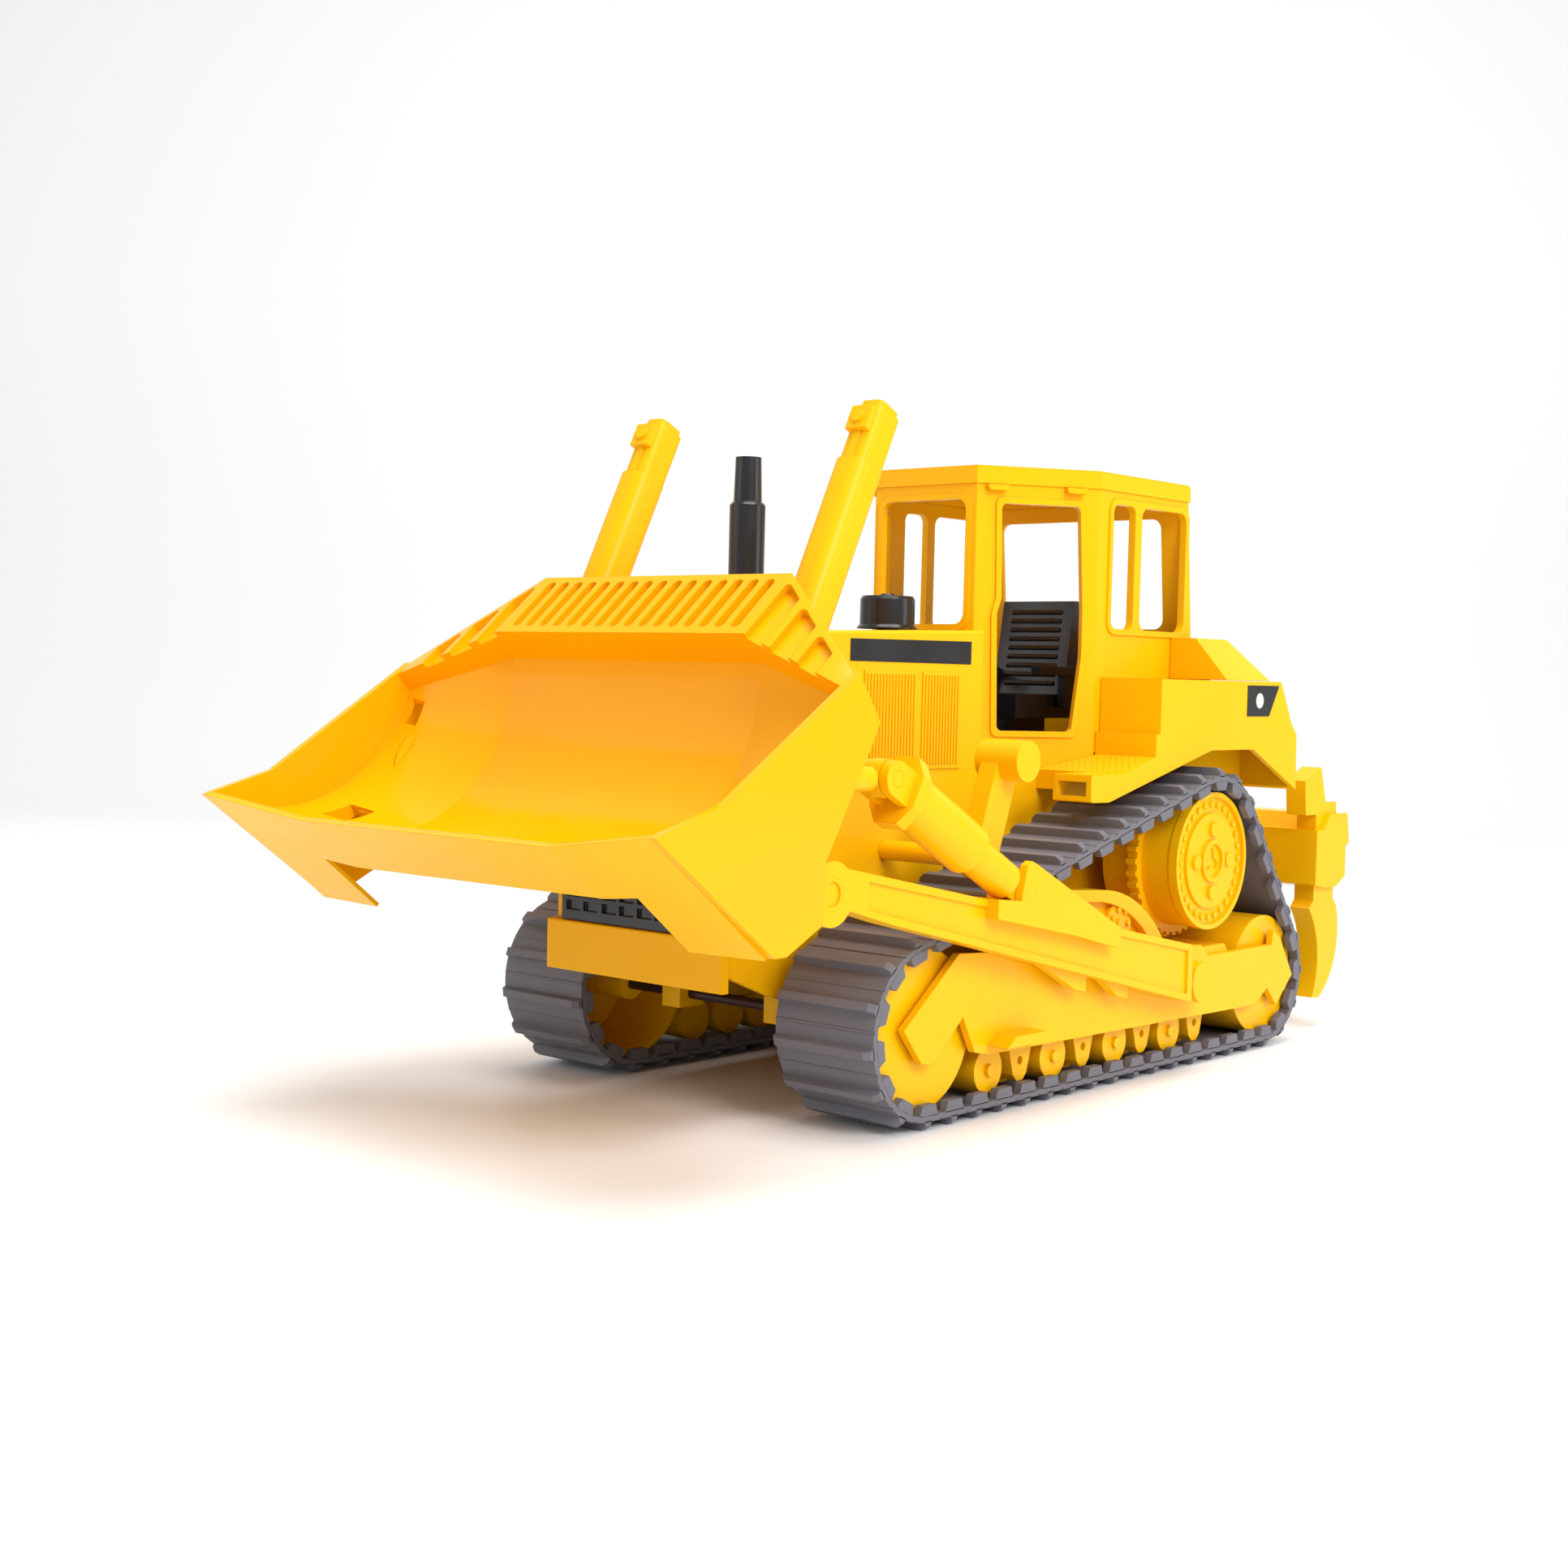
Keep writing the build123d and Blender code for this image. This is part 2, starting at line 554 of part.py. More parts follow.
# ---- track frames -------------------------------------------------------------------------------
ROLLER_YS, HANGER_YS = (-48.6, -3.4, 43.3, 87.6), (-25.9, 20.0, 66.3, 111.0)

with BuildPart() as track_frame:
    for side in SIDES.values():
        slab([(-58, 27), (-58, 48), (-54, 52), (130, 52), (134, 48), (134, 27)], FRAME_IN, FRAME_OUT, side)
        block((FRAME_IN + WALL, FRAME_OUT - WALL), (-55, 131), (20, 49), side, Mode.SUBTRACT)
        block((HULL_HALF, FRAME_IN), (-10, 70), (46, 52), side)
        block((HULL_HALF, FRAME_IN), (-10, 70), (40, 46), side)
save(track_frame, "track_frames")

with BuildPart() as cover:
    for side in SIDES.values():
        slab(
            [
                (-110.5, 39.7), (-77.3, 65.5), (60, 58), (78, 54), (104, 53.8), (110, 48.5), (169.5, 48.4),
                (170.5, 55), (177.5, 51), (190.5, 32.5), (175.5, 19.5), (166.5, 28.5), (155, 21.6), (-55.9, 24.5),
                (-65.7, 26.3), (-74, 41), (-92, 25.1), (-99.2, 26.1),
            ],
            FRAME_OUT, COVER_OUT, side,
        )
        disc(FRONT_IDLER, IDLER_AXLE_R, FRAME_OUT - 1, 99.8, side, Mode.SUBTRACT)
        disc(REAR_IDLER, IDLER_AXLE_R, FRAME_OUT - 1, 99.8, side, Mode.SUBTRACT)
        disc(ARM_PIVOT, 5, FRAME_OUT - 1, COVER_OUT + 1, side, Mode.SUBTRACT)
        slab([(-58, 28), (-52, 32.2), (-31, 32.2), (-28, 28)], COVER_OUT, 110, side)
save(cover, "frame_covers")

with BuildPart() as rollers:
    for side in SIDES.values():
        block((63.5, 94), (-54, 130), (24.4, 27), side)
        for y in ROLLER_YS:
            disc((y, 16.6), 9.3, FRAME_IN + 4, WHEEL_OUT - 0.6, side)
            disc((y, 16.6), 2.4, WHEEL_OUT - 0.6, WHEEL_OUT + 1.0, side)
        for y in HANGER_YS:
            disc((y, 16.6), 9.0, FRAME_IN + 4, 86, side)
            slab([(y - 9, 27), (y + 9, 27), (y + 4.6, 12), (y + 2, 9.4), (y - 2, 9.4), (y - 4.6, 12)], 86, 94, side)
            disc((y, 17.5), 1.7, 89, 99, side, Mode.SUBTRACT)
save(rollers, "roller_banks")

with BuildPart() as guard:
    for side in SIDES.values():
        with BuildSketch(Plane.YZ.offset(side * FRAME_IN)) as arch:
            with BuildLine():
                ThreePointArc((87, 52), (70, 69.5), (34, 82))
                Polyline((34, 82), (4, 84), (-34, 73), (-44, 52), (87, 52))
            make_face()
        extrude(arch.sketch, amount=side * 33)
        with BuildSketch(Plane.YZ.offset(side * 89)) as arch_recess:
            with BuildLine():
                ThreePointArc((74, 56), (61, 67), (33, 77))
                Polyline((33, 77), (4, 79), (-31, 69), (-37, 56), (74, 56))
            make_face()
        extrude(arch_recess.sketch, amount=side * 10, mode=Mode.SUBTRACT)
        block((FRAME_IN + WALL, 86.5), (-36, 72), (50, 66), side, Mode.SUBTRACT)
        disc((49, 66.5), 9.5, 89, 91.5, side)
        with BuildSketch(Plane.YZ.offset(side * 91.5)) as star:
            with Locations((49, 66.5)):
                with PolarLocations(6.4, 7):
                    Circle(1.3)
                Circle(2.4)
        extrude(star.sketch, amount=side * 1.2)
save(guard, "carrier_guards")


# ---- lift frame: two push arms on one cross tube ------------------------------------------------
def arm_top(y):
    return 98.4 - 0.195 * (y + 134.5)


def arm_low(y):
    return 81.8 - 0.2348 * (y + 133.8)


for name, side in SIDES.items():
    with BuildPart() as arm:
        rear, front = 75.9, -160.0
        slab([(front, arm_top(front)), (front, arm_low(front) + 1), (-133.8, arm_low(-133.8)), (rear, arm_low(rear)),
              (rear, arm_top(rear))], ARM_IN, ARM_OUT, side)
        disc(BLADE_PIVOT, 11.5, ARM_IN, ARM_OUT, side)
        disc(ARM_PIVOT, 9, ARM_IN, 107.6, side)
        slab([(rear - 1, arm_top(rear) - 3), (rear - 1, arm_low(rear) + 1), (ARM_PIVOT[0], ARM_PIVOT[1] - 9),
              (ARM_PIVOT[0], ARM_PIVOT[1] + 9)], ARM_IN, 107.6, side)
        slab([(-148, arm_top(-148) - 3), (-148, arm_low(-148) + 3), (rear - 4, arm_low(rear - 4) + 3),
              (rear - 4, arm_top(rear - 4) - 3)], ARM_OUT - 1.2, ARM_OUT + 1, side, Mode.SUBTRACT)
        # the brace's foot bracket: two cheeks joined by a ledge along the arm's top edge
        slab([(-77, arm_top(-77) - 7), (9, arm_top(9) - 7), (9, arm_top(9) + 0.5), (-62, arm_top(-62) + 1.8),
              (-77, arm_top(-77) + 0.4)], ARM_IN, 117.4, side)
        cheek = [(-62, 84), (-61.5, 88), (-58.5, 99.4), (-55.5, 100.8), (-52, 99.4), (9, arm_top(9)), (9, 62), (-50, 76)]
        slab(cheek, ARM_IN, 104.6, side)
        slab(cheek, 114.0, 117.4, side)
        disc(BRACE_FOOT, 7.2, 107.4, 114.0, side, Mode.SUBTRACT)
        block((107.4, 114.0), (-64, -56), (84.2, 96), side, Mode.SUBTRACT)
        disc(BRACE_FOOT, BRACE_PIN_R, 100, 118, side, Mode.SUBTRACT)
        for low, high, depth in ((-38, -1, 6.5), (9, 31, 5)):
            slab([(low, arm_low(low) + 1), (high - 8, arm_low(high - 8) - depth), (high, arm_low(high) - depth),
                  (high, arm_low(high) + 1)], 104, 108, side)
        disc(ARM_PIVOT, 5 + RUNNING, 90, 120, side, Mode.SUBTRACT)
        disc(BLADE_PIVOT, CROSS_TUBE_R, 90, 120, side, Mode.SUBTRACT)
    save(arm, f"push_arm_{name}")


with BuildPart() as pivot_pin:
    for side in SIDES.values():
        disc(ARM_PIVOT, 5, FRAME_OUT, 107.9, side)
        disc(ARM_PIVOT, 9, 107.9, ARM_OUT, side)
save(pivot_pin, "arm_pivot_pins")

with BuildPart() as cross_tube:
    disc(BLADE_PIVOT, CROSS_TUBE_R, -ARM_OUT, ARM_OUT)
    for side in SIDES.values():
        disc(BLADE_PIVOT, CROSS_TUBE_R - 1.6, ARM_OUT - 0.8, ARM_OUT + 1, side, Mode.SUBTRACT)
save(cross_tube, "arm_cross_tube")


# ---- blade --------------------------------------------------------------------------------------
FORWARD = (-CHORD[1], CHORD[0])  # (y, z) direction out of the blade's front


def blade_plane(x):
    """A cross-section plane of the blade: x is forward, y is up the chord."""
    return Plane(origin=(x, *LIP), x_dir=(0, *FORWARD), z_dir=(-1, 0, 0))


def blade_section(outline, front_mid, back_mid):
    """Draws a section of the moldboard: lip, hollow front, head box, back and foot."""
    lip, crease, head_low, head_top, head_back, waist, back_top, back_low, foot_back, foot_front = outline
    ThreePointArc(lip, front_mid, crease)
    Polyline(crease, head_low, head_top, head_back, waist, back_top)
    ThreePointArc(back_top, back_mid, back_low)
    Polyline(back_low, foot_back, foot_front, lip)


MIDDLE = [(0, 0), (-15.2, 113.9), (-1.2, 113.1), (0, 147.4), (-5, 147.4), (-12.5, 122), (-18.2, 114), (-30.5, 11.6),
          (-29, 6.6),
          (0.4, -1.2)]
END = [(9.3, -0.7), (-19, 97), (-10.2, 96), (-10.4, 103.7), (-13.9, 103.7), (-18.5, 99.5), (-22, 97.5), (-23, 11),
       (-21.5, 6),
       (9.7, -1.9)]
MIDDLE_ARCS, END_ARCS = ((-41, 56), (-44, 56)), ((-29, 50), (-32.2, 50))
EDGE_MIDDLE = [(0.4, -1.2), (0.8, -2.8), (-29.4, 5.0), (-29, 6.6)]
EDGE_END = [(9.7, -1.9), (10.1, -3.5), (-22, 4.4), (-21.5, 6)]
SIDE_PLATE = [(10.1, -3.5), (9.3, -0.7), (-1.9, 25.5), (-10.4, 103.7), (-30.7, 102.5), (-32.8, 97.9), (-49.5, 52.6),
              (-59, 43), (-65.5, 38), (-61.2, 18.2), (-57.5, 13.6)]


WING_TURN = math.atan2(9.4, BLADE_END - BLADE_KINK)
POCKET_FLOOR = -3.6


def pocket_floor(side):
    """The floor of the spill guard's end pockets, which leans back with the wing."""
    lean, straight = math.sin(WING_TURN), math.cos(WING_TURN)
    return Plane(
        origin=(side * BLADE_KINK, LIP[0] + POCKET_FLOOR * FORWARD[0], LIP[1] + POCKET_FLOOR * FORWARD[1]),
        x_dir=(side * straight, -lean * FORWARD[0], -lean * FORWARD[1]),
        z_dir=(side * lean, straight * FORWARD[0], straight * FORWARD[1]),
    )


with BuildPart() as blade:
    with BuildSketch(blade_plane(BLADE_KINK)) as middle_section:
        with BuildLine():
            blade_section(MIDDLE, *MIDDLE_ARCS)
        make_face()
    extrude(middle_section.sketch, amount=2 * BLADE_KINK)
    for side in SIDES.values():
        with BuildSketch(blade_plane(side * BLADE_KINK)) as inner_section:
            with BuildLine():
                blade_section(MIDDLE, *MIDDLE_ARCS)
            make_face()
        with BuildSketch(blade_plane(side * BLADE_END)) as outer_section:
            with BuildLine():
                blade_section(END, *END_ARCS)
            make_face()
        loft([inner_section.sketch, outer_section.sketch], ruled=True)
        with BuildSketch(blade_plane(side * BLADE_END)) as side_plate:
            flat(SIDE_PLATE)
        extrude(side_plate.sketch, amount=-side * (BLADE_HALF - BLADE_END))
    # blind slots in the spill guard, and larger pockets on its sloping ends
    head = Plane(origin=(0, *LIP), x_dir=(1, 0, 0), z_dir=(0, *FORWARD))
    with BuildSketch(head.offset(-4.5)) as slots:
        with Locations((0, 130.4)):
            with GridLocations(SLOT_PITCH, 1, SLOTS, 1):
                SlotOverall(27.5, SLOT_WIDTH, rotation=90)
    extrude(slots.sketch, amount=10, mode=Mode.SUBTRACT)
    for side in SIDES.values():
        with BuildSketch(pocket_floor(side)) as pockets:
            for low, high in ((66.5, 76.5), (80, 91), (94.5, 105)):
                feet = [113.6 - 0.327 * (x - 62.6) for x in (low, high)]
                tops = [143.6 - 0.84 * (x - 66) for x in (low, high)]
                corners = [(low, feet[0]), (high, feet[1]), (high, tops[1]), (low, tops[0])]
                flat([((x - BLADE_KINK) / math.cos(WING_TURN), side * up) for x, up in corners])
            fillet(pockets.vertices(), 1.6)
        extrude(pockets.sketch, amount=10, mode=Mode.SUBTRACT)
        for low, high, foot, top in ((90, 103, 24, 37), (108, 115, 84, 94)):
            with BuildSketch(head.offset(-60)) as corner_hole:
                with Locations((side * (low + high) / 2, (foot + top) / 2)):
                    Rectangle(high - low, top - foot)
            extrude(corner_hole.sketch, amount=55, mode=Mode.SUBTRACT)
save(blade, "blade_moldboard")


def edge_section(x):
    """The cutting edge's section at x, between the kink and the end of the blade."""
    share = (x - BLADE_KINK) / (BLADE_END - BLADE_KINK)
    return [(a[0] + share * (b[0] - a[0]), a[1] + share * (b[1] - a[1])) for a, b in zip(EDGE_MIDDLE, EDGE_END)]


with BuildPart() as cutting_edge:
    with BuildSketch(blade_plane(BLADE_KINK)) as edge_middle:
        flat(EDGE_MIDDLE)
    extrude(edge_middle.sketch, amount=2 * BLADE_KINK)
    for side in SIDES.values():
        with BuildSketch(blade_plane(side * BLADE_KINK)) as edge_in:
            flat(EDGE_MIDDLE)
        with BuildSketch(blade_plane(side * BLADE_END)) as edge_out:
            flat(EDGE_END)
        loft([edge_in.sketch, edge_out.sketch], ruled=True)
        # the end bit reaches further down, behind the moldboard's foot
        with BuildSketch(blade_plane(side * 84)) as bit_in:
            _, front_low, back_low, back_high = edge_section(84)
            flat([back_high, back_low, (-58, 11.6), (-57.6, 13.2)])
        with BuildSketch(blade_plane(side * BLADE_END)) as bit_out:
            flat([EDGE_END[3], EDGE_END[2], (-57.5, 12.2), (-57.1, 13.8)])
        loft([bit_in.sketch, bit_out.sketch], ruled=True)
save(cutting_edge, "cutting_edge")

BLADE_HUB = (-68.3, 55.1)  # the pivot in the blade's own section
PAD_FRONT_MIDDLE = [(-37.7, 36), (-42.5, 56), (-40.6, 78)]  # inside the moldboard's skin
PAD_FRONT_END = [(-26.7, 36), (-31.2, 56), (-29.0, 78)]
PAD_BACK = [(-50, 76), (-55, 70), (-55, 44), (-50, 38)]


def pad_section(x):
    """A section through a thick pad on the moldboard's back."""
    share = max(0.0, (abs(x) - BLADE_KINK) / (BLADE_END - BLADE_KINK))
    front = [(a[0] + share * (b[0] - a[0]), a[1]) for a, b in zip(PAD_FRONT_MIDDLE, PAD_FRONT_END)]
    return front + PAD_BACK


with BuildPart() as carrier:
    for low, high in ((-44, 44), (72, 99), (-99, -72)):
        with BuildSketch(blade_plane(low)) as pad_low:
            flat(pad_section(low))
        with BuildSketch(blade_plane(high)) as pad_high:
            flat(pad_section(high))
        loft([pad_low.sketch, pad_high.sketch], ruled=True)
    for low, high in ((72, 78), (93, 99), (-78, -72), (-99, -93), (-44, -38), (38, 44)):
        with BuildSketch(blade_plane(high)) as lug:
            flat([(-50, 40), (-66, 45.3), (-66, 64.9), (-50, 74)])
            with Locations(BLADE_HUB):
                Circle(10)
        extrude(lug.sketch, amount=high - low)
        with BuildSketch(blade_plane(high)) as lug_bore:
            with Locations(BLADE_HUB):
                Circle(CROSS_TUBE_R + RUNNING)
        extrude(lug_bore.sketch, amount=high - low, mode=Mode.SUBTRACT)
    for side in SIDES.values():
        disc(BRACE_BALL, 7, 107.7, 113.7, side)
        rod(side * BRACE_X, (-172, 134), (BRACE_BALL[0] - 8, 134), 4.4)
        rod(side * BRACE_X, (BRACE_BALL[0] - 8, 134), (BRACE_BALL[0] - 4, 134), 3.1)
        slab([(-184, 128.5), (-174.6, 140.5), (-167, 140.5), (-167, 128.5)], 104.7, 116.7, side)
        disc(BRACE_BALL, BRACE_PIN_R, 100, 120, side, Mode.SUBTRACT)
    add(blade.part, mode=Mode.SUBTRACT)
save(carrier, "blade_carrier")


# ---- braces -------------------------------------------------------------------------------------
BRACE_LENGTH = math.dist(BRACE_BALL, BRACE_FOOT)
TO_BALL, TO_FOOT = unit(BRACE_FOOT, BRACE_BALL), unit(BRACE_BALL, BRACE_FOOT)
BARREL_MOUTH = 57.0  # distance from the ball
ROD_TIP = 74.0  # distance from the foot

for name, side in SIDES.items():
    with BuildPart() as brace_barrel:
        plate_half, plate_x = 13.0, 10.0
        plane = Plane(origin=(side * BRACE_X, *along(BRACE_BALL, TO_FOOT, 9)), x_dir=(1, 0, 0), z_dir=(0, *TO_FOOT))
        with BuildSketch(plane) as octagon:
            flat([(plate_x, 6), (5, plate_half), (-5, plate_half), (-plate_x, 6), (-plate_x, -6), (-5, -plate_half),
                  (5, -plate_half), (plate_x, -6)])
        extrude(octagon.sketch, amount=5.5)
        for low, high in ((103.6, 107.3), (114.1, 117.8)):
            disc(BRACE_BALL, 6.5, low, high, side)
            bar(BRACE_BALL, TO_FOOT, 0, 10, 6.5, low, high, side)
        rod(side * BRACE_X, along(BRACE_BALL, TO_FOOT, 14.5), along(BRACE_BALL, TO_FOOT, BARREL_MOUTH), BRACE_R)
        rod(side * BRACE_X, along(BRACE_BALL, TO_FOOT, 20), along(BRACE_BALL, TO_FOOT, BARREL_MOUTH + 1),
            BRACE_BORE_R, Mode.SUBTRACT)
        disc(BRACE_BALL, BRACE_PIN_R + RUNNING, 100, 120, side, Mode.SUBTRACT)
    save(brace_barrel, f"brace_barrel_{name}")

    with BuildPart() as brace_rod:
        disc(BRACE_FOOT, 6.5, 107.7, 113.7, side)
        bar(BRACE_FOOT, TO_BALL, 0, 11, 5.5, 107.7, 113.7, side)
        rod(side * BRACE_X, along(BRACE_FOOT, TO_BALL, 10.5), along(BRACE_FOOT, TO_BALL, ROD_TIP), BRACE_ROD_R)
        disc(BRACE_FOOT, BRACE_PIN_R + RUNNING, 100, 120, side, Mode.SUBTRACT)
    save(brace_rod, f"brace_rod_{name}")

with BuildPart() as ball_pins:
    for side in SIDES.values():
        disc(BRACE_BALL, BRACE_PIN_R, 103.6, 117.8, side)
with BuildPart() as foot_pins:
    for side in SIDES.values():
        disc(BRACE_FOOT, BRACE_PIN_R, ARM_IN, 117.4, side)
save(ball_pins, "brace_ball_pins")
save(foot_pins, "brace_foot_pins")


# ---- lift cylinders and their trunnions ---------------------------------------------------------
LIFT_NORMAL = (-LIFT_DIR[1], LIFT_DIR[0])


def lift_plane(side, distance):
    """A plane across a lift cylinder: x along X, y towards the machine's rear."""
    return Plane(origin=(side * LIFT_X, *along(BLADE_PIVOT, LIFT_DIR, distance)), x_dir=(1, 0, 0),
                 z_dir=(0, *LIFT_DIR))


for name, side in SIDES.items():
    with BuildPart() as lift_cylinder:
        disc(BLADE_PIVOT, 9.5, 52.2, 64.2, side)
        rod(side * LIFT_X, along(BLADE_PIVOT, LIFT_DIR, 8), along(BLADE_PIVOT, LIFT_DIR, 48), 6)
        with BuildSketch(lift_plane(side, 47)) as barrel:
            RectangleRounded(15.8, 16.8, 6)
        extrude(barrel.sketch, amount=171 - 47)
        with BuildSketch(lift_plane(side, 171)) as neck:
            with Locations((0, 0.6)):
                RectangleRounded(13, 14.6, 3.5)
        extrude(neck.sketch, amount=24)
        with BuildSketch(lift_plane(side, 194)) as cap:
            with Locations((0, 0.6)):
                RectangleRounded(10.6, 12.2, 2.4)
        extrude(cap.sketch, amount=3.6)
        # a front block with a round button, on a thin strip that runs down to the barrel
        slab([along(BLADE_PIVOT, LIFT_DIR, *end) for end in ((183, 4.5), (193, 4.5), (193, 9.2), (183, 9.2))],
             LIFT_X - 5, LIFT_X + 5, side)
        slab([along(BLADE_PIVOT, LIFT_DIR, *end) for end in ((170, 4.5), (184, 4.5), (184, 7.5), (170, 7.5))],
             LIFT_X - 1.6, LIFT_X + 1.6, side)
        with BuildSketch(Plane(origin=(side * LIFT_X, *along(BLADE_PIVOT, LIFT_DIR, 188, 9.2)), x_dir=(1, 0, 0),
                               z_dir=(0, *LIFT_NORMAL))) as button:
            Circle(2.6)
        extrude(button.sketch, amount=1.2)
        # click notches across the rear of the barrel
        for notch in range(3):
            disc(along(BLADE_PIVOT, LIFT_DIR, 112 + 8 * notch, -11.5), 4.2, LIFT_X - 20, LIFT_X + 20, side,
                 Mode.SUBTRACT)
        disc(BLADE_PIVOT, CROSS_TUBE_R + RUNNING, 40, 80, side, Mode.SUBTRACT)
    save(lift_cylinder, f"lift_cylinder_{name}")

    with BuildPart() as trunnion_sleeve:
        with BuildSketch(lift_plane(side, TRUNNION_AT - 11)) as sleeve:
            RectangleRounded(23.2, 24.2, 4)
        extrude(sleeve.sketch, amount=22)
        with BuildSketch(lift_plane(side, TRUNNION_AT - 12)) as sleeve_bore:
            RectangleRounded(17.6, 18.6, 6.9)
        extrude(sleeve_bore.sketch, amount=24, mode=Mode.SUBTRACT)
        disc(trunnion, TRUNNION_R, 37, LIFT_X - 9.8, side)
        disc(trunnion, 7, SHROUD_HALF + 0.4, LIFT_X - 9.8, side)
    save(trunnion_sleeve, f"lift_trunnion_{name}")


# ---- release levers -----------------------------------------------------------------------------
with BuildPart() as lever_shaft:
    disc(LEVER_SHAFT, 4, -98, 98)
save(lever_shaft, "lever_shaft")

TO_KNOB = unit(LEVER_SHAFT, LEVER_KNOB)
with BuildPart() as lever:
    for side in SIDES.values():
        disc(LEVER_SHAFT, 8, 88, 96, side)
        bar(LEVER_SHAFT, TO_KNOB, 0, 40, 7.4, 88, 96, side)
        disc(LEVER_KNOB, 8.2, 85, 105, side)
        disc(LEVER_SHAFT, 4, 80, 110, side, Mode.SUBTRACT)
save(lever, "release_levers")


# ---- ripper -------------------------------------------------------------------------------------
with BuildPart() as ripper_mount:
    block((-44, 44), (178, 182), (54, 126))
    for side in SIDES.values():
        for low, high, centre, reach in (
            (26, 32.6, RIPPER_PIVOT, 8), (26.5, 30.6, RIPPER_CYL_TOP, 6), (37.4, 41.5, RIPPER_CYL_TOP, 6),
        ):
            disc(centre, reach, low, high, side)
            block((low, high), (181, centre[0]), (centre[1] - reach, centre[1] + reach), side)
        disc(RIPPER_CYL_TOP, 2.5, 30, 38, side)
    disc(RIPPER_PIVOT, 4, -44, 44, mode=Mode.SUBTRACT)
save(ripper_mount, "ripper_mount")

with BuildPart() as ripper_pin:
    disc(RIPPER_PIVOT, 4, -44, 44)
save(ripper_pin, "ripper_pivot_pin")

BEAM_FRONT = 228.0
with BuildPart() as ripper_frame:
    for side in SIDES.values():
        disc(RIPPER_PIVOT, 8, 33, 43, side)
        slab([(191, 58.2), (194, 74), (BEAM_FRONT, 96), (BEAM_FRONT, 76)], 33, 43, side)
        disc(RIPPER_PIVOT, 4 + RUNNING, 30, 50, side, Mode.SUBTRACT)
    block((-33, 33), (214, 219), (76, 84))
save(ripper_frame, "ripper_frame")

with BuildPart() as ripper_beam:
    slab(
        [
            (BEAM_FRONT, 72), (BEAM_FRONT, 99), (236, 99), (242, 106.5), (260, 106.5), (262.9, 91.5), (259.4, 90),
            (259.6, 75), (250.3, 70.1), (238, 70.1),
        ],
        -92, 92,
    )
    for x in (-SHANK_X, 0, SHANK_X):
        block((x - 5.2, x + 5.2), (232, 253), (60, 120), mode=Mode.SUBTRACT)
    for side in SIDES.values():
        for low, high in ((26.5, 30.6), (37.4, 41.5)):
            disc(RIPPER_CYL_FOOT, 6, low, high, side)
            block((low, high), (234, 246), (100, 108), side)
        block((30.6, 37.4), (230, 250), (99.5, 120), side, Mode.SUBTRACT)
        disc(RIPPER_CYL_FOOT, 2.5, 30, 38, side)
save(ripper_beam, "ripper_beam")

with BuildPart() as ripper_shanks:
    for x in (-SHANK_X, 0, SHANK_X):
        with BuildSketch(Plane.YZ.offset(x - 5.2)) as shank_outline:
            with BuildLine():
                Polyline((232, 64), (232, 106.5), (221, 106.5), (219, 123.4), (235.6, 129.8), (241.4, 112.3),
                         (253, 112.3), (253, 64), (257, 60))
                ThreePointArc((257, 60), (258.6, 38), (241, 14.6))
                Line((241, 14.6), (234, 15.4))
                ThreePointArc((234, 15.4), (238.4, 38), (228, 60))
                Line((228, 60), (232, 64))
            make_face()
        extrude(shank_outline.sketch, amount=10.4)
save(ripper_shanks, "ripper_shanks")

RIPPER_DIR = unit(RIPPER_CYL_TOP, RIPPER_CYL_FOOT)
with BuildPart() as ripper_barrels:
    for side in SIDES.values():
        x = side * RIPPER_CYL_X
        disc(RIPPER_CYL_TOP, 5.5, 31, 37, side)
        rod(x, along(RIPPER_CYL_TOP, RIPPER_DIR, 4.6), along(RIPPER_CYL_TOP, RIPPER_DIR, 10), 3.2)
        rod(x, along(RIPPER_CYL_TOP, RIPPER_DIR, 9), along(RIPPER_CYL_TOP, RIPPER_DIR, 33), 7.2)
        rod(x, along(RIPPER_CYL_TOP, RIPPER_DIR, 12), along(RIPPER_CYL_TOP, RIPPER_DIR, 34), 5.2, Mode.SUBTRACT)
        disc(RIPPER_CYL_TOP, 2.5 + RUNNING, 25, 45, side, Mode.SUBTRACT)
save(ripper_barrels, "ripper_barrels")

with BuildPart() as ripper_rods:
    for side in SIDES.values():
        x = side * RIPPER_CYL_X
        disc(RIPPER_CYL_FOOT, 5.5, 31, 37, side)
        rod(x, along(RIPPER_CYL_FOOT, RIPPER_DIR, -4.6), along(RIPPER_CYL_FOOT, RIPPER_DIR, -28.5), 3.3)
        disc(RIPPER_CYL_FOOT, 2.5 + RUNNING, 25, 45, side, Mode.SUBTRACT)
save(ripper_rods, "ripper_rods")
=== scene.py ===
import json
import math

import bmesh
import bpy
from mathutils import Matrix, Vector


